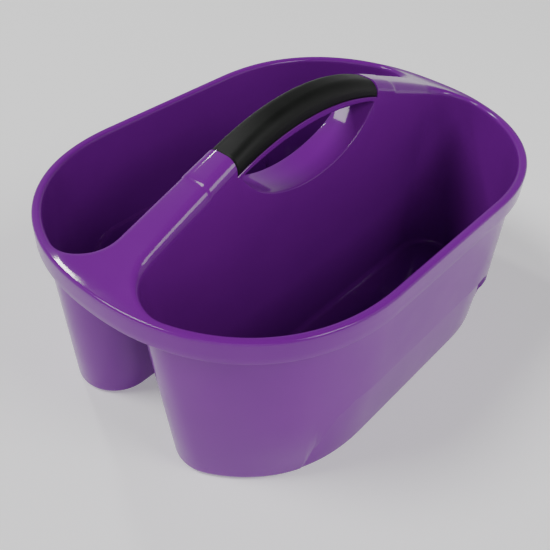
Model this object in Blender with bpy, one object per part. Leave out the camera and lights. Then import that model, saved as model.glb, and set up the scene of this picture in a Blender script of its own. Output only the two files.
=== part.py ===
"""Cleaning caddy: one polypropylene moulding with two D-shaped bins, and a soft rubber grip.

Metres, +Z up. The long axis is X, the bins lie either side of the plane Y = 0, and the
origin is on the ground under the middle. The object is symmetric about X = 0 and Y = 0.
"""

import math

import bmesh
import bpy

# Driving dimensions, in metres.
HALF_LENGTH = 0.200
HALF_WIDTH = 0.1425
STRAIGHT_HALF = 0.063      # half the straight run of the long sides
END_POWER = 2.23           # the ends are slightly squarer than an ellipse

RIM_HEIGHT = 0.1525
RIM_ROUND = 0.002
SKIRT_DEPTH = 0.0175
SKIRT_THICKNESS = 0.0022
WALL = 0.0026

BODY_INSET_TOP = 0.0052    # outer wall behind the rim's face, under the skirt
BODY_INSET_BASE = 0.0122   # and at the ground, which gives the draft
OPENING_INSET = 0.0055     # lip of a bin behind the rim's face
LIP_ROUND = 0.0025
BASE_ROUND = 0.005
FLOOR_ROUND = 0.006
CORNER_RADIUS = 0.031      # outer plan corners of a bin, next to the divider

RIDGE_HALF_AT_BASE = 0.028
RIDGE_TAPER = 0.0745       # the divider narrows as it rises
CREST_HEIGHT = 0.212
CREST_RADIUS = 0.200
CREST_HALF = 0.071         # the crest arc runs on as a straight ramp from here
SHOULDER_ROUND = 0.008
SHOULDER_FADE = 0.100      # beyond this the shoulders sharpen towards the flat ends
RIDGE_STRAIGHT_HALF = 0.150
FLARE_HALF_WIDTH = 0.060

HOLE_HALF = 0.0765
HOLE_LOW = 0.1468
HOLE_HIGH = 0.193
HOLE_CORNER = 0.1815

GRIP_HALF = 0.0803
GRIP_THICK_TOP = 0.0042
GRIP_THICK_SIDE = 0.0030
GRIP_EDGE_MIDDLE = 0.1980  # height of the grip's lower edge at the middle
GRIP_EDGE_END = 0.1840
CLEARANCE = 0.0003

PANEL_DEPTH = 0.0042       # shallow recess low on each long side, with S-shaped ends
PANEL_TOP = 0.0560
PANEL_EDGE = 0.0090        # height over which the wall steps in
PANEL_HALF_TOP = 0.086
PANEL_HALF_BASE = 0.126
PANEL_LEVELS = (0.020, 0.034, PANEL_TOP - PANEL_EDGE, PANEL_TOP)

OUTLINE_STEPS = 44
CORNER_STEPS = 6
ARC_STEPS = 3
STATIONS = 20

DIVIDER_HEIGHT = 0.131     # the divider's walls are part of the bins below this
FLARE_STEP = 0.004         # the divider widens to its flare over this length
PAST = 0.010               # how far a cutter runs past what it cuts


def smooth(t):
    t = min(max(t, 0.0), 1.0)
    return t * t * (3 - 2 * t)


def outline_point(angle, inset):
    """A point of the plan outline and its outward normal; angle 0 is +X."""
    along, across = HALF_LENGTH - inset - STRAIGHT_HALF, HALF_WIDTH - inset
    c, s = math.cos(angle), math.sin(angle)
    e = 2 / END_POWER
    x = math.copysign(STRAIGHT_HALF * (abs(c) > 1e-9) + along * abs(c) ** e, c)
    y = math.copysign(across * abs(s) ** e, s)
    nx = math.copysign(abs(c) ** (2 - e) / along, c)
    ny = math.copysign(abs(s) ** (2 - e) / across, s)
    size = math.hypot(nx, ny)
    return (x, y), (nx / size, ny / size)


def outline_loop(inset, z):
    """The whole plan outline as a closed loop at height z."""
    half_turn = [math.pi * (i + 0.5) / OUTLINE_STEPS for i in range(OUTLINE_STEPS)]
    points = [outline_point(a, inset)[0] for a in half_turn]
    points += [(-x, -y) for x, y in points]
    return [(x, y, z) for x, y in points]


def corner_angle(inset, gap, radius):
    """Where on the outline a bin's corner arc starts: its centre is a radius from both sides."""
    low, high = 0.0, math.pi / 2
    for _ in range(50):
        angle = (low + high) / 2
        (_, y), (_, ny) = outline_point(angle, inset)
        if y - radius * ny < gap + radius:
            low = angle
        else:
            high = angle
    return high


def panel_depth(x, z):
    """How far the wall is set in by the recess at this place on a long side."""
    end = smooth((abs(x) - PANEL_HALF_TOP) / (PANEL_HALF_BASE - PANEL_HALF_TOP))
    edge = PANEL_TOP - (PANEL_TOP + PANEL_EDGE) * end
    return PANEL_DEPTH * smooth((edge - z) / PANEL_EDGE)


def bin_loop(side, inset, gap, radius, z):
    """A D-shaped loop: the outline beyond y = gap on one side, with two rounded corners."""
    start = corner_angle(inset, gap, radius)
    (x, y), (nx, ny) = outline_point(start, inset)
    centre_x, centre_y = x - radius * nx, y - radius * ny
    turn = math.atan2(ny, nx)
    quarter = []
    for i in range(CORNER_STEPS + 1):
        a = -math.pi / 2 + (turn + math.pi / 2) * i / CORNER_STEPS
        quarter.append((centre_x + radius * math.cos(a), centre_y + radius * math.sin(a)))
    for i in range(1, OUTLINE_STEPS // 2 + 1):
        a = start + (math.pi / 2 - start) * i / (OUTLINE_STEPS // 2 + 0.5)
        (x, y), (nx, ny) = outline_point(a, inset)
        depth = panel_depth(x, z)
        quarter.append((x - depth * nx, y - depth * ny))
    half = quarter + [(-px, py) for px, py in reversed(quarter)]
    return [(px, side * py, z) for px, py in half]


def ridge_half(z):
    """Half the divider's width on its bin faces."""
    return RIDGE_HALF_AT_BASE - RIDGE_TAPER * z


def body_inset(z):
    return BODY_INSET_BASE + (BODY_INSET_TOP - BODY_INSET_BASE) * z / (RIM_HEIGHT - SKIRT_DEPTH)


def crest(x):
    """Height of the divider's top: an arc over the handle, then a straight ramp to the rim."""
    x = abs(x)
    if x <= CREST_HALF:
        return CREST_HEIGHT - CREST_RADIUS + math.sqrt(CREST_RADIUS ** 2 - x * x)
    slope = CREST_HALF / math.sqrt(CREST_RADIUS ** 2 - CREST_HALF ** 2)
    return crest(CREST_HALF) - slope * (x - CREST_HALF)


def ramp_end():
    """Distance from the middle at which the ramp comes down to the rim."""
    slope = CREST_HALF / math.sqrt(CREST_RADIUS ** 2 - CREST_HALF ** 2)
    return CREST_HALF + (crest(CREST_HALF) - RIM_HEIGHT) / slope


def shoulder_radius(x):
    fade = (abs(x) - SHOULDER_FADE) / (RIDGE_STRAIGHT_HALF - SHOULDER_FADE)
    return SHOULDER_ROUND * (1 - smooth(fade)) + CLEARANCE


def hole_floor(x):
    """Lower edge of the hand hole: a shallow bow that turns up at its ends."""
    t = (x / HOLE_HALF) ** 2
    return HOLE_LOW + (HOLE_CORNER - HOLE_LOW) * (0.70 * t + 0.30 * t ** 3)


def hole_roof(x):
    return HOLE_HIGH - (HOLE_HIGH - HOLE_CORNER) * (x / HOLE_HALF) ** 2


def grip_edge(x):
    """Height of the grip's lower edge."""
    return GRIP_EDGE_MIDDLE - (GRIP_EDGE_MIDDLE - GRIP_EDGE_END) * (x / GRIP_HALF) ** 2


def spaced(low, high, steps):
    return [low + (high - low) * i / steps for i in range(steps + 1)]


def loft(name, loops, collection):
    """A closed solid through loops of equal length, with flat ends."""
    mesh = bpy.data.meshes.new(name)
    bm = bmesh.new()
    rows = [[bm.verts.new(p) for p in loop] for loop in loops]
    for a, b in zip(rows, rows[1:]):
        for i in range(len(a)):
            j = (i + 1) % len(a)
            bm.faces.new((a[i], a[j], b[j], b[i]))
    bm.faces.new(reversed(rows[0]))
    bm.faces.new(rows[-1])
    bmesh.ops.triangulate(bm, faces=bm.faces)
    bmesh.ops.recalc_face_normals(bm, faces=bm.faces)
    bm.to_mesh(mesh)
    bm.free()
    made = bpy.data.objects.new(name, mesh)
    collection.objects.link(made)
    return made


def helper(made):
    made.hide_render = True
    made.display_type = "WIRE"
    return made


def boolean(target, operation, other, solver="EXACT"):
    modifier = target.modifiers.new(operation.lower() + "_" + other.name, "BOOLEAN")
    modifier.operation = operation
    modifier.solver = solver
    modifier.object = other


def rounded_top(half_at, base, top, radius):
    """Section in Y and Z from the base on +Y, over two round shoulders, to the base on -Y."""
    side = half_at(top - radius)
    arc = []
    for i in range(ARC_STEPS + 1):
        a = math.pi / 2 * i / ARC_STEPS
        arc.append((side - radius + radius * math.cos(a), top - radius + radius * math.sin(a)))
    right = [(half_at(base), base)] + arc
    return right + [(-y, z) for y, z in reversed(right)]


def make_rim(parts, cutters):
    """The flange over the whole outline, with its rounded edge and downturned skirt."""
    low = RIM_HEIGHT - SKIRT_DEPTH
    bite = RIM_ROUND * (1 - math.sqrt(0.5))
    rim = loft("tub", [
        outline_loop(0, low),
        outline_loop(0, RIM_HEIGHT - RIM_ROUND),
        outline_loop(bite, RIM_HEIGHT - bite),
        outline_loop(RIM_ROUND, RIM_HEIGHT),
    ], parts)
    under = helper(loft("under_rim", [
        outline_loop(SKIRT_THICKNESS, low - WALL),
        outline_loop(SKIRT_THICKNESS, RIM_HEIGHT - WALL),
    ], cutters))
    boolean(rim, "DIFFERENCE", under)
    return rim


def outer_bin(name, side, cutters):
    """Outer skin of one bin."""
    loops = []
    for step in range(ARC_STEPS + 1):
        a = math.pi / 2 * step / ARC_STEPS
        z = BASE_ROUND * (1 - math.cos(a))
        loops.append((z, BASE_ROUND * (1 - math.sin(a))))
    loops += [(z, 0.0) for z in (*PANEL_LEVELS, RIM_HEIGHT - SKIRT_DEPTH, RIM_HEIGHT - WALL / 2)]
    return helper(loft(name, [
        bin_loop(side, body_inset(z) + pull, ridge_half(z) - WALL + pull, CORNER_RADIUS, z)
        for z, pull in loops
    ], cutters))


def inner_bin(name, side, cutters):
    """The space inside one bin, running up past the crest so that it trims the divider too."""
    levels = []
    for step in range(ARC_STEPS + 1):
        a = math.pi / 2 * step / ARC_STEPS
        levels.append((WALL + FLOOR_ROUND * (1 - math.cos(a)), FLOOR_ROUND * (1 - math.sin(a))))
    levels += [(z, 0.0) for z in PANEL_LEVELS]
    loops = [
        bin_loop(side, body_inset(z) + WALL + pull, ridge_half(z) + pull, CORNER_RADIUS - WALL, z)
        for z, pull in levels
    ]
    wall_top = RIM_HEIGHT - LIP_ROUND
    for z, inset in (
        (wall_top, body_inset(wall_top) + WALL),
        (RIM_HEIGHT + CLEARANCE, OPENING_INSET),
        (CREST_HEIGHT + PAST, OPENING_INSET),
    ):
        loops.append(bin_loop(side, inset, ridge_half(z), CORNER_RADIUS - WALL, z))
    return helper(loft(name, loops, cutters))


def make_ridge(cutters):
    """The divider above the bins' walls, widening at each end to meet the rim."""
    end = ramp_end() + 2 * CLEARANCE
    loops = []
    inner = RIDGE_STRAIGHT_HALF
    stations = spaced(-end, -inner - FLARE_STEP, 4) + spaced(-inner, inner, STATIONS * 2)
    stations += spaced(inner + FLARE_STEP, end, 4)
    for x in stations:
        if abs(x) >= inner + FLARE_STEP:
            section = rounded_top(lambda z: FLARE_HALF_WIDTH, RIM_HEIGHT - WALL / 2, crest(x), CLEARANCE)
        else:
            base = RIM_HEIGHT - WALL / 2 if abs(x) > inner - FLARE_STEP else DIVIDER_HEIGHT
            section = rounded_top(lambda z: ridge_half(z) + CLEARANCE, base, crest(x), shoulder_radius(x))
        loops.append([(x, y, z) for y, z in section])
    ridge = loft("ridge_block", loops, cutters)
    column = helper(loft("rim_column", [
        outline_loop(RIM_ROUND * 1.5, DIVIDER_HEIGHT - PAST),
        outline_loop(RIM_ROUND * 1.5, CREST_HEIGHT + PAST),
    ], cutters))
    boolean(ridge, "INTERSECT", column)
    return helper(ridge)


def make_ridge_hollow(cutters):
    """The open channel inside the divider, which stops under the hand hole and the handle."""
    low = DIVIDER_HEIGHT - 2 * PAST
    stop = GRIP_HALF + 2 * WALL
    end = ramp_end()
    ramp = [(x, crest(x) - WALL) for x in spaced(stop, end, 5)]
    bow = [(x, hole_floor(abs(x) - WALL) - WALL) for x in spaced(-HOLE_HALF, HOLE_HALF, STATIONS)]
    post = (GRIP_HALF + WALL, HOLE_CORNER - WALL)
    tops = [(-x, z) for x, z in reversed([post] + ramp)] + bow + [post] + ramp
    loops = []
    for x, top in tops:
        wide, narrow = (ridge_half(z) - WALL + CLEARANCE for z in (low, top))
        loops.append([(x, wide, low), (x, narrow, top), (x, -narrow, top), (x, -wide, low)])
    return helper(loft("ridge_hollow", loops, cutters))


def make_hand_hole(cutters):
    """The lens-shaped hole through the divider, under the handle."""
    xs = spaced(-HOLE_HALF, HOLE_HALF, STATIONS)
    lens = [(x, hole_floor(x)) for x in xs] + [(x, hole_roof(x)) for x in xs[-2:0:-1]]
    past = RIDGE_HALF_AT_BASE + PAST
    return helper(loft("hand_hole", [[(x, y, z) for x, z in lens] for y in (-past, past)], cutters))


def core_half(z):
    return ridge_half(z) - GRIP_THICK_SIDE


def saddle_loops(half, outer_half, raise_edge, shrink_core, outer_top):
    """U-shaped sections along the handle, between an outer surface and the handle's core."""
    loops = []
    for x in spaced(-half, half, STATIONS):
        edge = grip_edge(x) + raise_edge
        radius = SHOULDER_ROUND - GRIP_THICK_SIDE + shrink_core
        core = rounded_top(lambda z: core_half(z) + shrink_core, edge,
                           crest(x) - GRIP_THICK_TOP + shrink_core, radius)
        outer = rounded_top(outer_half, edge, crest(x) + outer_top, SHOULDER_ROUND)
        loops.append([(x, y, z) for y, z in outer + core[::-1]])
    return loops


def make_grip_seat(cutters):
    """The step in the handle that the grip sits in."""
    loops = saddle_loops(GRIP_HALF, lambda z: RIDGE_HALF_AT_BASE + PAST, 0.0, 0.0, 2 * PAST)
    return helper(loft("grip_seat", loops, cutters))


def make_grip(parts):
    """The soft sleeve: flush with the divider, a clearance off its seat."""
    loops = saddle_loops(GRIP_HALF - CLEARANCE, ridge_half, CLEARANCE, CLEARANCE, 0.0)
    return loft("grip", loops, parts)


def plastic(name, colour, roughness):
    material = bpy.data.materials.new(name)
    material.use_nodes = True
    shader = material.node_tree.nodes["Principled BSDF"]
    shader.inputs["Base Color"].default_value = (*colour, 1.0)
    shader.inputs["Roughness"].default_value = roughness
    shader.inputs["Metallic"].default_value = 0.0
    return material


def make_tub(parts, cutters):
    tub = make_rim(parts, cutters)
    insides = []
    for side, word in ((-1, "near"), (1, "far")):
        boolean(tub, "UNION", outer_bin("outer_" + word, side, cutters))
        insides.append(inner_bin("inner_" + word, side, cutters))
    boolean(tub, "UNION", make_ridge(cutters))
    boolean(tub, "DIFFERENCE", make_ridge_hollow(cutters))
    for inner in insides:
        boolean(tub, "DIFFERENCE", inner)
    boolean(tub, "DIFFERENCE", make_hand_hole(cutters))
    # The exact solver drops the whole tub at this last cut; both meshes are closed here.
    boolean(tub, "DIFFERENCE", make_grip_seat(cutters), "MANIFOLD")
    return tub


def main():
    for old in list(bpy.data.objects):
        bpy.data.objects.remove(old)
    parts = bpy.data.collections.new("cleaning_caddy")
    cutters = bpy.data.collections.new("cutters")
    for collection in (parts, cutters):
        bpy.context.scene.collection.children.link(collection)
    tub = make_tub(parts, cutters)
    grip = make_grip(parts)
    tub.data.materials.append(plastic("purple_polypropylene", (0.155, 0.022, 0.245), 0.22))
    grip.data.materials.append(plastic("black_rubber", (0.012, 0.013, 0.012), 0.50))
    for made in (tub, grip):
        made.data.shade_smooth()
        made.data.set_sharp_from_angle(angle=math.radians(35))


main()
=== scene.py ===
"""Looks of the cleaning caddy: a glossy purple moulding with two bins, and its black rubber grip.

Metres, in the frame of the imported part: +Z up, X along the handle, the ground at Z = 0. The caddy
is the same on both sides and at both ends, so each piece is modelled as one quarter, with X and Y
positive, and mirrored twice.

The tub's mesh is a fan of columns that starts at the middle of the divider and goes round one bin
to the middle of its long side. A column is a pair, (kind, place): "ridge" with X in metres, or
"corner" or "outline" with a share from 0 to 1 of the bin's rounded corner or of its outer wall.
"""

import math

import bmesh
import bpy
from mathutils import Matrix, Vector


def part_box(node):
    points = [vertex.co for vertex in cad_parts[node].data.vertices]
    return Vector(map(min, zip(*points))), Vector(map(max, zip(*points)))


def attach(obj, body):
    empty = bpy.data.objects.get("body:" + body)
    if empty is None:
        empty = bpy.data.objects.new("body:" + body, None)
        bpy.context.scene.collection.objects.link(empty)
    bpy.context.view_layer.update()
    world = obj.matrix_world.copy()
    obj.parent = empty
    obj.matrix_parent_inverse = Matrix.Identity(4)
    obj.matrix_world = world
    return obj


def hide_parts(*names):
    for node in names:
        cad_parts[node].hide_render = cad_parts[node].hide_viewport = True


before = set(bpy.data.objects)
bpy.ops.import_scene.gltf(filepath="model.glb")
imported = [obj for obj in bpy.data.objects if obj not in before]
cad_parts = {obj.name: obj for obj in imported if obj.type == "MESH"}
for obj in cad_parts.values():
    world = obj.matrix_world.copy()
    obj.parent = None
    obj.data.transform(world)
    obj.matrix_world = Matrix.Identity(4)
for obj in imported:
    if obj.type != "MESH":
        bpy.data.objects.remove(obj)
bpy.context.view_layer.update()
_, tub_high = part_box("tub")
_, grip_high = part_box("grip")

# ---- Shape. Lengths in metres; the overall ones are read from the frame.
HALF_LENGTH = tub_high.x
HALF_WIDTH = tub_high.y
STRAIGHT_HALF = 0.063       # half the straight run of the long sides
END_POWER = 2.23            # the ends are slightly squarer than an ellipse

RIM_HEIGHT = 0.1525
RIM_ROUND = 0.0022
LIP_ROUND = 0.0030
SKIRT_DEPTH = 0.0175
SKIRT_THICKNESS = 0.0024
SKIRT_EDGE = 0.0008         # rounding of the skirt's lower edge
WALL = 0.0026
BODY_INSET_TOP = 0.0052     # outer wall behind the rim's face, under the skirt
BODY_INSET_BASE = 0.0122    # and at the ground, which gives the draft
BASE_ROUND = 0.005
FLOOR_ROUND = 0.006
CORNER_RADIUS = 0.031       # outer plan corners of a bin, next to the divider

RIDGE_HALF_AT_BASE = 0.028
RIDGE_TAPER = 0.0745        # the divider narrows as it rises
CREST_HEIGHT = grip_high.z
CREST_RADIUS = 0.200
CREST_HALF = 0.071          # the crest arc runs on as a straight ramp from here
CROWN = 0.0007              # the divider's top is slightly domed across
CROWN_END = 0.130           # the dome starts to flatten here
CROWN_FADE = 0.050
SHOULDER_ROUND = 0.008
SHOULDER_SHARE = 0.75       # share of a bin's corner over which the shoulder narrows to the lip
RAMP_BLEND = 0.0025
FLANGE_SHARE = 0.45         # share of a bin's corner that still follows the ramp in full
CORNER_START = 0.158        # nominal end of the divider's straight wall

HOLE_HALF = 0.0765
HOLE_LOW = 0.1468
HOLE_HIGH = 0.193
HOLE_CORNER = 0.1815        # height at which the hole's sill and roof meet
HOLE_ROUND = 0.0016
HOLE_ROUND_FADE = 0.006     # the rounding dies out towards the hole's pointed ends
SILL_CURL = 0.30            # share of the sill's rise that comes late, towards its ends

GRIP_HALF = grip_high.x
GRIP_THICK_TOP = 0.0042
GRIP_THICK_SIDE = 0.0030
GRIP_EDGE_MIDDLE = 0.1980   # height of the grip's lower edge at the middle
GRIP_EDGE_END = 0.1840
GRIP_EDGE_ROUND = 0.0010
GRIP_END_EASE = 0.0006      # the sleeve narrows this much at its very end
GRIP_END_RUN = 0.0012
CLEARANCE = 0.0003

COLLAR_RAISE = 0.0006       # the divider's top stands proud beside the grip
COLLAR_END = 0.1045
COLLAR_FADE = 0.0024
COLLAR_TURN = 0.5           # radians round the shoulder over which it rises from the wall
STEP = 0.0008               # run of the steep steps round the grip's seat

SWELL = 0.0045              # the long sides stand out above a low panel with S-shaped ends
SWELL_HEIGHT = 0.040        # height at which they stand out most
SWELL_HALF = 0.125
SWELL_FADE = 0.040
PANEL_TOP = 0.0635
PANEL_STEP = 0.0014         # height over which the wall steps out at the panel's edge
PANEL_HALF = 0.080          # where its level top edge ends
PANEL_CORNER = (0.036, 0.040)
PANEL_FLARE = 3.1           # slope of its ends below the corners

# Rows of the mesh beside the panel's edge, from just above it to some way below. They follow the
# edge down to EDGE_LOWEST, and close up where less than EDGE_ROOM is left under it.
EDGE_ROWS = (0.0006, 0.0, -0.0005, -0.0012, -0.0026, -0.0045, -0.0065, -0.0085)
EDGE_LOWEST = 0.010
EDGE_ROOM = 0.0115

ARC_STEPS = 7
MERGE = 0.00002
NEAR_ZERO = 1e-9
CREST_SLOPE = CREST_HALF / math.sqrt(CREST_RADIUS ** 2 - CREST_HALF ** 2)


def smooth(t):
    t = min(max(t, 0.0), 1.0)
    return t * t * (3 - 2 * t)


def mix(a, b, t):
    return a + (b - a) * t


def spaced(low, high, steps):
    return [mix(low, high, i / steps) for i in range(steps + 1)]


# ---- Plan curves
def outline_point(angle, inset):
    """A point of the plan outline, set in by inset, and its outward normal; angle 0 is +X."""
    along, across = HALF_LENGTH - inset - STRAIGHT_HALF, HALF_WIDTH - inset
    c, s = math.cos(angle), math.sin(angle)
    e = 2 / END_POWER
    if c < 1e-6:
        return (0.0, across), (0.0, 1.0)
    nx, ny = c ** (2 - e) / along, s ** (2 - e) / across
    size = math.hypot(nx, ny)
    return (STRAIGHT_HALF + along * c ** e, across * s ** e), (nx / size, ny / size)


def outline_side(x, y, inset):
    """Below 0 inside the outline at this inset, above 0 outside it; and the outward normal."""
    along, across = HALF_LENGTH - inset - STRAIGHT_HALF, HALF_WIDTH - inset
    u, v = max(x - STRAIGHT_HALF, 0.0) / along, max(y, 0.0) / across
    nx, ny = u ** (END_POWER - 1) / along, v ** (END_POWER - 1) / across
    size = math.hypot(nx, ny) or 1.0
    return u ** END_POWER + v ** END_POWER - 1, (nx / size, ny / size)


def corner_angle(inset, gap, radius):
    """Where on the outline a bin's corner arc starts: its centre is a radius from both sides."""
    low, high = 0.0, math.pi / 2
    for _ in range(26):
        angle = (low + high) / 2
        (_, y), (_, ny) = outline_point(angle, inset)
        if y - radius * ny < gap + radius:
            low = angle
        else:
            high = angle
    return high


def bin_point(column, z, skin):
    """Where a column of the mesh is at height z on a bin's wall, and which way its outside faces.

    skin is 0 on the face inside the bin and WALL on the face outside it.
    """
    kind, t = column
    inset = body_inset(z) + WALL - skin
    gap, radius = ridge_half(z) - skin, CORNER_RADIUS - WALL + skin
    if kind == "ridge" and t <= COLLAR_END + COLLAR_FADE:
        return (t, gap), (0.0, -1.0)
    start = corner_angle(inset, gap, radius)
    (x, y), (nx, ny) = outline_point(start, inset)
    centre_x, centre_y = x - radius * nx, y - radius * ny
    if kind == "ridge":
        fixed = COLLAR_END + COLLAR_FADE
        return (mix(fixed, centre_x, (t - fixed) / (CORNER_START - fixed)), gap), (0.0, -1.0)
    if kind == "corner":
        a = mix(-math.pi / 2, math.atan2(ny, nx), t)
        nx, ny = math.cos(a), math.sin(a)
        return (centre_x + radius * nx, centre_y + radius * ny), (nx, ny)
    return outline_point(mix(start, math.pi / 2, t), inset)


def edge_hit(x, y, nx, ny, inset):
    """Where a line from inside meets the outline, or the plane Y = 0 if that is nearer."""
    far = 0.2               # well outside
    if ny < 0 and outline_side(x - nx * y / ny, 0.0, inset)[0] < 0:
        return (x - nx * y / ny, 0.0), None
    near = 0.0
    for _ in range(30):
        middle = (near + far) / 2
        if outline_side(x + nx * middle, y + ny * middle, inset)[0] < 0:
            near = middle
        else:
            far = middle
    place = (x + nx * far, y + ny * far)
    return place, outline_side(*place, inset)[1]


def natural_end(column):
    """Where the flat top ends if the column runs on straight from the bin's wall."""
    edge = edge_height(column)
    (x, y), (nx, ny) = bin_point(column, edge, 0.0)
    return edge_hit(x, y, nx, ny, RIM_ROUND)


def from_tip(column):
    """Distance from a column's natural end to the tip of the flat top."""
    (x, y), _ = natural_end(column)
    return math.hypot(x - HALF_LENGTH + RIM_ROUND, y)


def line_end(column):
    """Where a column leaves the flat top: on the outline, or at Y = 0 with no outward normal.

    The column that comes nearest to the tip of the outline ends exactly there.
    """
    if column == TIP_COLUMN:
        return (HALF_LENGTH - RIM_ROUND, 0.0), (1.0, 0.0)
    return natural_end(column)


# ---- Heights
def ridge_half(z):
    """Half the divider's width on its bin faces."""
    return RIDGE_HALF_AT_BASE - RIDGE_TAPER * z


def body_inset(z):
    """How far a bin's outer face lies inside the rim's, growing towards the ground."""
    draft = (BODY_INSET_TOP - BODY_INSET_BASE) * z / (RIM_HEIGHT - SKIRT_DEPTH)
    return BODY_INSET_BASE + draft


def crest(x):
    """Height of the divider's top: an arc over the handle, then a straight ramp to the rim."""
    if x <= CREST_HALF:
        return CREST_HEIGHT - CREST_RADIUS + math.sqrt(CREST_RADIUS ** 2 - x * x)
    return crest(CREST_HALF) - CREST_SLOPE * (x - CREST_HALF)


def ramp(x):
    """The crest, blended into the level of the rim."""
    high, low = max(crest(x), RIM_HEIGHT), min(crest(x), RIM_HEIGHT)
    near = max(RAMP_BLEND - (high - low), 0.0) / RAMP_BLEND
    return high + near * near * RAMP_BLEND / 4


def flange_fade(column):
    """1 where the top follows the ramp, falling to 0 round a bin's corner, where the rim begins."""
    kind, t = column
    if kind == "corner":
        return 1 - smooth((t - FLANGE_SHARE) / (1 - FLANGE_SHARE))
    return 1.0 if kind == "ridge" else 0.0


def top_height(column, x, y):
    """Height of the flat top, with its dome, at a place on a column."""
    dome = 0.0
    if column[0] == "ridge":
        dome = CROWN * (1 - smooth((x - CROWN_END) / CROWN_FADE))
        dome *= max(1 - (y / ridge_half(RIM_HEIGHT)) ** 2, 0.0)
    return RIM_HEIGHT + flange_fade(column) * (ramp(x) - RIM_HEIGHT) + dome


def edge_height(column):
    """Height at which the bin's wall would meet the top if nothing were rounded."""
    (x, _), _ = bin_point(column, RIM_HEIGHT + 0.005, 0.0)
    return RIM_HEIGHT + flange_fade(column) * (ramp(x) - RIM_HEIGHT)


def shoulder(column):
    """Radius of the rounding between a bin's wall and the top."""
    kind, t = column
    if kind == "corner":
        return mix(SHOULDER_ROUND, LIP_ROUND, smooth(t / SHOULDER_SHARE))
    return SHOULDER_ROUND if kind == "ridge" else LIP_ROUND


def hole_floor(x):
    t = (x / HOLE_HALF) ** 2
    return mix(HOLE_LOW, HOLE_CORNER, mix(t, t ** 3, SILL_CURL))


def hole_roof(x):
    return HOLE_HIGH - (HOLE_HIGH - HOLE_CORNER) * (x / HOLE_HALF) ** 2


def hole_round(x):
    return HOLE_ROUND * smooth((HOLE_HALF - x) / HOLE_ROUND_FADE)


def grip_edge(x):
    """Height of the grip's lower edge."""
    return GRIP_EDGE_MIDDLE - (GRIP_EDGE_MIDDLE - GRIP_EDGE_END) * (x / GRIP_HALF) ** 2


def over_hole(column):
    return column[0] == "ridge" and column[1] <= HOLE_HALF + NEAR_ZERO


def in_seat(column):
    return column[0] == "ridge" and column[1] <= GRIP_HALF + CLEARANCE / 2


def waist(column):
    """Height of the mesh line that runs out from the corner of the hand hole round the bin."""
    return edge_height(column) - (crest(HOLE_HALF) - HOLE_CORNER)


def panel_edge(x):
    """Height of the panel's edge: level, then a rounded corner, then a slight flare to the foot."""
    wide, high = PANEL_CORNER
    t = min(max((x - PANEL_HALF) / wide, 0.0), 1.0)
    corner = high * (1 - math.sqrt(1 - t * t))
    flare = PANEL_FLARE * max(x - PANEL_HALF - wide, 0.0)
    return PANEL_TOP - corner - flare


def swell(x, z):
    """How far a long side stands out from the plain drafted wall, above the panel's edge."""
    top = RIM_HEIGHT - SKIRT_DEPTH
    rise = max(min(z / SWELL_HEIGHT, (top - z) / (top - SWELL_HEIGHT)), 0.0)
    along = 1 - smooth((x - SWELL_HALF) / SWELL_FADE)
    above = smooth((z - panel_edge(x)) / PANEL_STEP + 1)
    return SWELL * rise * along * above


# ---- Mesh helpers
def arc(corner, start, end, steps=ARC_STEPS):
    """Points round a corner, from start to end, tangent to both sides."""
    made = []
    to_start, to_end = start - corner, end - corner
    for i in range(steps + 1):
        a = math.pi / 2 * i / steps
        made.append(corner + to_start * (1 - math.sin(a)) + to_end * (1 - math.cos(a)))
    return made


def lines(points, steps):
    """A polyline through the points, each stretch cut into equal steps; drops the first point."""
    made = []
    for a, b in zip(points, points[1:]):
        made += [a.lerp(b, (i + 1) / steps) for i in range(steps)]
    return made


def skin_columns(bm, columns):
    """Quads between neighbouring columns of points; gives back the columns' vertices."""
    rows = [[bm.verts.new(p) for p in column] for column in columns]
    for a, b in zip(rows, rows[1:]):
        for i in range(len(a) - 1):
            bm.faces.new((a[i], a[i + 1], b[i + 1], b[i]))
    return rows


def quarter_object(name, build):
    """A mesh from one quarter, mirrored in X and Y."""
    bm = bmesh.new()
    build(bm)
    bmesh.ops.remove_doubles(bm, verts=bm.verts, dist=MERGE)
    bmesh.ops.dissolve_degenerate(bm, dist=1e-6, edges=bm.edges)
    for axis in (0, 1):
        made = bmesh.ops.duplicate(bm, geom=bm.verts[:] + bm.edges[:] + bm.faces[:])["geom"]
        faces = [f for f in made if isinstance(f, bmesh.types.BMFace)]
        for vert in (v for v in made if isinstance(v, bmesh.types.BMVert)):
            vert.co[axis] = -vert.co[axis]
        bmesh.ops.reverse_faces(bm, faces=faces)
        bmesh.ops.remove_doubles(bm, verts=bm.verts, dist=MERGE)
    bmesh.ops.recalc_face_normals(bm, faces=bm.faces)
    mesh = bpy.data.meshes.new(name)
    bm.to_mesh(mesh)
    bm.free()
    mesh.shade_smooth()
    mesh.set_sharp_from_angle(angle=math.radians(38))
    made = bpy.data.objects.new(name, mesh)
    bpy.context.scene.collection.objects.link(made)
    return made


def at(place, z):
    return Vector((place[0], place[1], z))


# ---- The tub
def tub_columns():
    """The columns, from the middle of the divider round a bin to the middle of its side."""
    ridge = [HOLE_HALF * math.sin(math.pi / 2 * i / 30) for i in range(31)]
    seat_end = GRIP_HALF + CLEARANCE / 2
    collar_start = GRIP_HALF + CLEARANCE
    ridge += [mix(HOLE_HALF, seat_end, 0.5), seat_end]
    ridge += [collar_start, collar_start + STEP / 2, collar_start + STEP]
    ridge += spaced(ridge[-1], COLLAR_END, 6)[1:]
    ridge += spaced(COLLAR_END, COLLAR_END + COLLAR_FADE, 4)[1:]
    ridge += spaced(COLLAR_END + COLLAR_FADE, CORNER_START, 14)[1:]
    columns = [("ridge", x) for x in ridge]
    columns += [("corner", i / 22) for i in range(1, 23)]
    columns += [("outline", i / 120) for i in range(1, 121)]
    return columns


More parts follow.
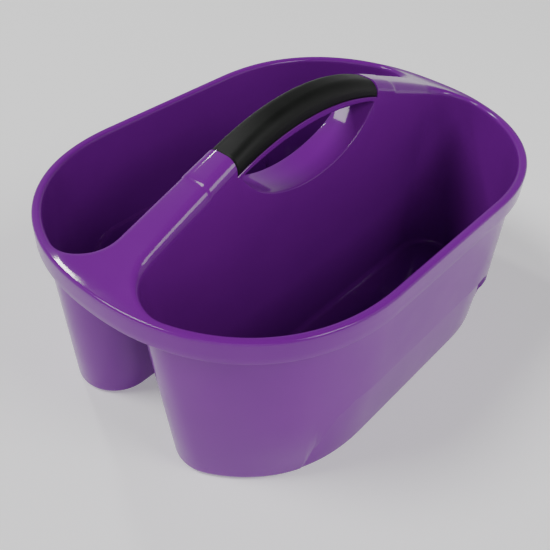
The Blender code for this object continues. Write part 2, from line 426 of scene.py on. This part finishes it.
def wall_heights(column, high, low):
    """Heights down a wall, some of which follow the edge of the panel on the side."""
    (x, _), _ = bin_point(column, PANEL_TOP / 2, WALL)
    edge = max(panel_edge(x), EDGE_LOWEST) if column[0] == "outline" else EDGE_LOWEST
    squeeze = min((edge - low) / EDGE_ROOM, 1.0)
    beside = [edge + row * squeeze for row in EDGE_ROWS]
    return spaced(high, beside[0], 8)[:-1] + beside + spaced(beside[-1], low, 8)[1:]


def wall_line(column, heights, skin):
    """Points down a bin's wall; a long side swells outwards, inside and out alike."""
    made = []
    for z in heights:
        (x, y), (nx, ny) = bin_point(column, z, skin)
        out = swell(x, z) if column[0] == "outline" else 0.0
        made.append(Vector((x + out * nx, y + out * ny, z)))
    return made


def foot(column, line, low, radius, skin):
    """The rounded foot of a wall line, turning in under the bin."""
    (x, y), (nx, ny) = bin_point(column, low, skin)
    base = line[-1]
    corner = Vector((base.x, base.y, low))
    inward = corner - Vector((nx, ny, 0.0)) * radius
    return arc(corner, base, inward)[1:]


def inner_wall(column):
    """From the waist, or the sill of the hand hole, down to the bin's floor."""
    x = column[1]
    high = hole_floor(x) - hole_round(x) if over_hole(column) else waist(column)
    line = wall_line(column, wall_heights(column, high, WALL + FLOOR_ROUND), 0.0)
    return line + foot(column, line, WALL, FLOOR_ROUND, 0.0)


def hole_side(column, height, inner):
    """From the divider's face round the rim of the hand hole and through to the middle."""
    x, turn = column[1], hole_round(column[1])
    start = at(bin_point(column, inner, 0.0)[0], inner)
    corner = at(bin_point(column, height, 0.0)[0], height)
    end = corner - Vector((0.0, turn, 0.0))
    return arc(corner, start, end, 4) + lines([end, Vector((x, 0.0, height))], 4)


def collar(column):
    """How far the top stands proud beside the grip."""
    kind, x = column
    if kind != "ridge":
        return 0.0
    rise = smooth((x - GRIP_HALF - CLEARANCE + STEP / 2) / STEP)
    return COLLAR_RAISE * rise * (1 - smooth((x - COLLAR_END) / COLLAR_FADE)) - STEP * (1 - rise)


def crown_line(column):
    """From the waist, or the roof of the hand hole, over the top to the outline or the middle."""
    place = column[1]
    low = hole_roof(place) + hole_round(place) if over_hole(column) else waist(column)
    if in_seat(column):
        return seat_line(column, low)
    edge, turn = edge_height(column), shoulder(column)
    wall = [at(bin_point(column, z, 0.0)[0], z) for z in spaced(low, edge - turn, 5)]

    (edge_x, edge_y), (nx, ny) = bin_point(column, edge, 0.0)
    flat_x, flat_y = edge_x + nx * turn, edge_y + ny * turn
    flat = Vector((flat_x, flat_y, top_height(column, flat_x, flat_y)))
    over = arc(Vector((edge_x, edge_y, edge)), wall[-1], flat)
    lift = collar(column)
    for i, point in enumerate(over):
        a = math.pi / 2 * i / ARC_STEPS
        point += Vector((0.0, math.cos(a), math.sin(a))) * lift * smooth(a / COLLAR_TURN)

    top = []
    (end_x, end_y), _ = line_end(column)
    for t in spaced(0.0, 1.0, 6)[1:]:
        x, y = mix(flat_x, end_x, t), mix(flat_y, end_y, t)
        top.append(Vector((x, y, top_height(column, x, y) + lift)))
    return wall[:-1] + over + top


def seat_line(column, low):
    """The lip under the grip, then the core of the handle, which the grip hides.

    It has as many points as the other crown lines, so that it joins up with them.
    """
    x = column[1]
    edge = grip_edge(x) if x < GRIP_HALF else GRIP_EDGE_END
    lip = [at(bin_point(column, z, 0.0)[0], z) for z in spaced(low, edge - STEP / 2, 4)]
    half, top = ridge_half(edge), crest(x) - GRIP_THICK_TOP
    core = ridge_half(top) - GRIP_THICK_SIDE
    turn = SHOULDER_ROUND - GRIP_THICK_SIDE
    step = [Vector((x, half - STEP / 2, edge)), Vector((x, half - GRIP_THICK_SIDE, edge))]
    start, corner = Vector((x, core, top - turn)), Vector((x, core, top))
    end = Vector((x, core - turn, top))
    over = arc(corner, start, end, ARC_STEPS - 1)[:-1]
    return lip + step + over + lines([end, Vector((x, 0, top))], 6)


def rim_line(place, normal, high):
    """From the top of the rim, round its edge, down the skirt and up behind it."""
    out = Vector((normal[0], normal[1], 0.0))
    base = at(place, high)
    face = base + out * RIM_ROUND
    back = face - out * SKIRT_THICKNESS
    low = RIM_HEIGHT - SKIRT_DEPTH
    foot_face, foot_back = at(face, low), at(back, low)
    up = Vector((0, 0, SKIRT_EDGE))
    along = (foot_back - foot_face).normalized() * SKIRT_EDGE
    made = arc(face, base, face - Vector((0, 0, RIM_ROUND)))
    made += lines([made[-1], foot_face + up], 3)
    made += arc(foot_face, foot_face + up, foot_face + along, 3)[1:]
    made += arc(foot_back, foot_back - along, foot_back + up, 3)
    return made + lines([made[-1], at(back, RIM_HEIGHT - WALL)], 2)


def ceiling(column, x):
    """Height of the underside over the space between the bins."""
    if column[0] != "ridge":
        return top_height(column, x, 0.0) - WALL
    post = smooth((x - HOLE_HALF) / (2 * WALL))
    return mix(hole_floor(min(x, HOLE_HALF)) - 2 * WALL, crest(x) - WALL, post)


def under_line(column, inner_end):
    """From the back of the skirt, or the middle, to the bin's outer wall and down to the ground."""
    edge = edge_height(column)
    (x, _), _ = bin_point(column, edge - WALL, WALL)
    high = ceiling(column, x)
    top = at(bin_point(column, high, WALL)[0], high)
    line = wall_line(column, wall_heights(column, high, BASE_ROUND), WALL)
    line += foot(column, line, 0.0, BASE_ROUND, WALL)
    return [inner_end] + lines([inner_end, top], 4)[:-1] + line


def build_tub(bm):
    """Inside of a bin, hand hole, top, rim and underside, in that order."""
    columns = tub_columns()
    inner = skin_columns(bm, [inner_wall(c) for c in columns])
    bm.faces.new([line[-1] for line in inner])
    for edge, side in ((hole_floor, -1), (hole_roof, 1)):
        hole_lines = []
        for column in filter(over_hole, columns):
            height, turn = edge(column[1]), hole_round(column[1])
            hole_lines.append(hole_side(column, height, height + side * turn))
        skin_columns(bm, hole_lines)
    skin_columns(bm, [crown_line(c) for c in columns])

    rim_lines, under_lines = [], []
    for column in reversed(columns):
        place, normal = line_end(column)
        if normal is None:
            inner_end = Vector((place[0], 0.0, ceiling(column, place[0])))
        else:
            rim_lines.append(rim_line(place, normal, top_height(column, *place)))
            inner_end = rim_lines[-1][-1]
        under_lines.append(under_line(column, inner_end))
    skin_columns(bm, rim_lines)
    under = skin_columns(bm, under_lines)
    bm.faces.new([line[-1] for line in under])


def grip_line(x, end):
    """Round one side of the sleeve: inside from the middle, under its edge, up and over the top."""
    ease = GRIP_END_EASE * smooth((x - end + GRIP_END_RUN) / GRIP_END_RUN) ** 2
    edge, top = grip_edge(x) + CLEARANCE, crest(x) - ease
    low_half, high_half = ridge_half(edge) - ease, ridge_half(top) - ease

    core_y, core_z = low_half - GRIP_THICK_SIDE + CLEARANCE, top - GRIP_THICK_TOP + CLEARANCE
    inside = [Vector((x, 0.0, core_z)), Vector((x, core_y, core_z)), Vector((x, core_y, edge))]

    low_corner = Vector((x, low_half, edge))
    inner = low_corner - Vector((0, GRIP_EDGE_ROUND, 0))
    outer = low_corner + Vector((0, 0, GRIP_EDGE_ROUND))

    def crown(y):
        return Vector((x, y, top + CROWN * (1 - (y / high_half) ** 2)))

    turn_low, turn_end = top - SHOULDER_ROUND, high_half - SHOULDER_ROUND
    start = Vector((x, ridge_half(turn_low) - ease, turn_low))
    side = arc(low_corner, inner, outer, 3) + lines([outer, start], 3)[:-1]
    over = arc(Vector((x, high_half, top)), start, crown(turn_end), 9)
    return inside + side + over + [crown(turn_end * (1 - i / 6)) for i in range(1, 7)]


def build_grip(bm):
    """A soft sleeve, flush with the divider's top, with eased edges and a flat end."""
    end = GRIP_HALF - CLEARANCE / 2
    places = [end * math.sin(math.pi / 2 * i / 40) for i in range(41)]
    rows = skin_columns(bm, [grip_line(x, end) for x in places])
    bm.faces.new(rows[-1])


# ---- Materials
def shader_of(name):
    """A new material, with its node tree and its Principled shader."""
    material = bpy.data.materials.new(name)
    material.use_nodes = True
    return material, material.node_tree, material.node_tree.nodes["Principled BSDF"]


def noise(tree, scale, detail, source):
    node = tree.nodes.new("ShaderNodeTexNoise")
    node.inputs["Scale"].default_value = scale
    node.inputs["Detail"].default_value = detail
    tree.links.new(source, node.inputs["Vector"])
    return node.outputs["Fac"]


def ramped(tree, source, stops):
    """A colour that runs between two stops, each a place and a colour."""
    node = tree.nodes.new("ShaderNodeValToRGB")
    for element, (place, colour) in zip(node.color_ramp.elements, stops):
        element.position, element.color = place, (*colour, 1.0)
    tree.links.new(source, node.inputs["Fac"])
    return node.outputs["Color"]


def ranged(tree, source, low, high):
    node = tree.nodes.new("ShaderNodeMapRange")
    node.inputs["To Min"].default_value = low
    node.inputs["To Max"].default_value = high
    tree.links.new(source, node.inputs["Value"])
    return node.outputs["Result"]


def bumped(tree, source, strength, distance, normal=None):
    node = tree.nodes.new("ShaderNodeBump")
    node.inputs["Strength"].default_value = strength
    node.inputs["Distance"].default_value = distance
    tree.links.new(source, node.inputs["Height"])
    if normal is not None:
        tree.links.new(normal, node.inputs["Normal"])
    return node.outputs["Normal"]


def purple_plastic():
    """Moulded polypropylene: satin gloss, faint flow marks and a very fine orange peel."""
    material, tree, shader = shader_of("purple_polypropylene")
    place = tree.nodes.new("ShaderNodeTexCoord").outputs["Object"]
    flow = noise(tree, 9.0, 3.0, place)
    purples = [(0.35, (0.165, 0.0040, 0.265)), (0.68, (0.185, 0.0050, 0.290))]
    tree.links.new(ramped(tree, flow, purples), shader.inputs["Base Color"])
    gloss = ranged(tree, noise(tree, 42.0, 4.0, place), 0.30, 0.42)
    tree.links.new(gloss, shader.inputs["Roughness"])
    peel = bumped(tree, noise(tree, 320.0, 2.0, place), 0.03, 0.0005)
    skin = bumped(tree, noise(tree, 26.0, 1.0, place), 0.05, 0.003, peel)
    tree.links.new(skin, shader.inputs["Normal"])
    tree.links.new(skin, shader.inputs["Coat Normal"])
    shader.inputs["Specular IOR Level"].default_value = 0.05
    shader.inputs["Coat Weight"].default_value = 0.6
    shader.inputs["Coat Roughness"].default_value = 0.08
    return material


def black_rubber():
    """Soft rubber: matte, slightly grey-green where light grazes it, with a fine moulded grain."""
    material, tree, shader = shader_of("black_rubber")
    place = tree.nodes.new("ShaderNodeTexCoord").outputs["Object"]
    mottle = noise(tree, 60.0, 4.0, place)
    blacks = [(0.3, (0.0055, 0.0060, 0.0055)), (0.75, (0.0085, 0.0095, 0.0085))]
    tree.links.new(ramped(tree, mottle, blacks), shader.inputs["Base Color"])
    tree.links.new(ranged(tree, mottle, 0.44, 0.56), shader.inputs["Roughness"])
    shader.inputs["IOR"].default_value = 1.30
    grain = bumped(tree, noise(tree, 1500.0, 2.0, place), 0.22, 0.0004)
    tree.links.new(grain, shader.inputs["Normal"])
    return material


# ---- Pieces
TIP_COLUMN = min(tub_columns(), key=from_tip)       # read by line_end


def add_pieces():
    for node, slot, build, material in (
        ("tub", "purple_polypropylene", build_tub, purple_plastic()),
        ("grip", "black_rubber", build_grip, black_rubber()),
    ):
        piece = quarter_object("caddy_" + node, build)
        piece.data.materials.append(material)
        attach(piece, "root")
        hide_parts(node)


# ---- Camera, lights and floor
def add_camera():
    """Looks down on the caddy from beyond its corner at -X and -Y, slightly rolled."""
    data = bpy.data.cameras.new("camera")
    data.sensor_width, data.lens = 36.0, 48.75
    camera = bpy.data.objects.new("camera", data)
    bpy.context.scene.collection.objects.link(camera)
    heading, down, roll = math.radians(51.07), math.radians(40.92), math.radians(3.30)
    level = Vector((math.sin(heading), math.cos(heading), 0.0))
    forward = level * math.cos(down) - Vector((0.0, 0.0, math.sin(down)))
    right = Vector((math.cos(heading), -math.sin(heading), 0.0))
    up = right.cross(forward)
    right, up = (right * math.cos(roll) + up * math.sin(roll),
                 up * math.cos(roll) - right * math.sin(roll))
    camera.matrix_world = (Matrix.Translation((-0.3847, -0.2965, 0.4596))
                           @ Matrix((right, up, -forward)).transposed().to_4x4())
    bpy.context.scene.camera = camera


def area_light(name, place, aim, size, power):
    data = bpy.data.lights.new(name, "AREA")
    data.shape, data.size = "SQUARE", size
    data.energy = power
    light = bpy.data.objects.new(name, data)
    light.location = place
    light.rotation_euler = (Vector(aim) - Vector(place)).to_track_quat("-Z", "Y").to_euler()
    bpy.context.scene.collection.objects.link(light)


def add_floor():
    """A wide pale floor, part of the studio and not of the caddy."""
    mesh = bpy.data.meshes.new("floor")
    mesh.from_pydata([(-6, -6, 0), (6, -6, 0), (6, 6, 0), (-6, 6, 0)], [], [(0, 1, 2, 3)])
    floor = bpy.data.objects.new("floor", mesh)
    bpy.context.scene.collection.objects.link(floor)
    material, _, shader = shader_of("floor")
    shader.inputs["Base Color"].default_value = (0.93, 0.93, 0.93, 1.0)
    shader.inputs["Roughness"].default_value = 0.9
    shader.inputs["Emission Color"].default_value = (1.0, 1.0, 1.0, 1.0)
    shader.inputs["Emission Strength"].default_value = 0.25
    mesh.materials.append(material)


def add_world():
    """A studio that is bright near the floor and dark overhead."""
    world = bpy.data.worlds.new("studio")
    bpy.context.scene.world = world
    world.use_nodes = True
    tree = world.node_tree
    split = tree.nodes.new("ShaderNodeSeparateXYZ")
    tree.links.new(tree.nodes.new("ShaderNodeTexCoord").outputs["Generated"], split.inputs["Vector"])
    fade = ramped(tree, split.outputs["Z"], [(0.0, (0.58, 0.58, 0.58)), (0.7, (0.02, 0.02, 0.02))])
    tree.links.new(fade, tree.nodes["Background"].inputs["Color"])


def sun_light(name, direction, strength, spread):
    """A far, soft light that shines from a direction; spread is its angle across in degrees."""
    data = bpy.data.lights.new(name, "SUN")
    data.energy, data.angle = strength, math.radians(spread)
    light = bpy.data.objects.new(name, data)
    light.rotation_euler = Vector(direction).to_track_quat("Z", "Y").to_euler()
    bpy.context.scene.collection.objects.link(light)


def add_lights():
    """Soft suns from three sides; the key and back lights are there to be mirrored in the rim."""
    sun_light("main", (-0.42, 0.42, 0.80), 1.9, 24)
    sun_light("left", (-0.70, -0.50, 0.45), 0.36, 44)
    sun_light("right", (0.50, -0.75, 0.42), 0.26, 44)
    area_light("key", (0.1, -1.1, 1.3), (0.0, 0.0, 0.15), 0.60, 8.5)
    area_light("back", (0.164, 1.05, 1.19), (-0.2, 0.03, 0.15), 0.11, 4.0)


add_camera()
add_pieces()
add_floor()
add_world()
add_lights()
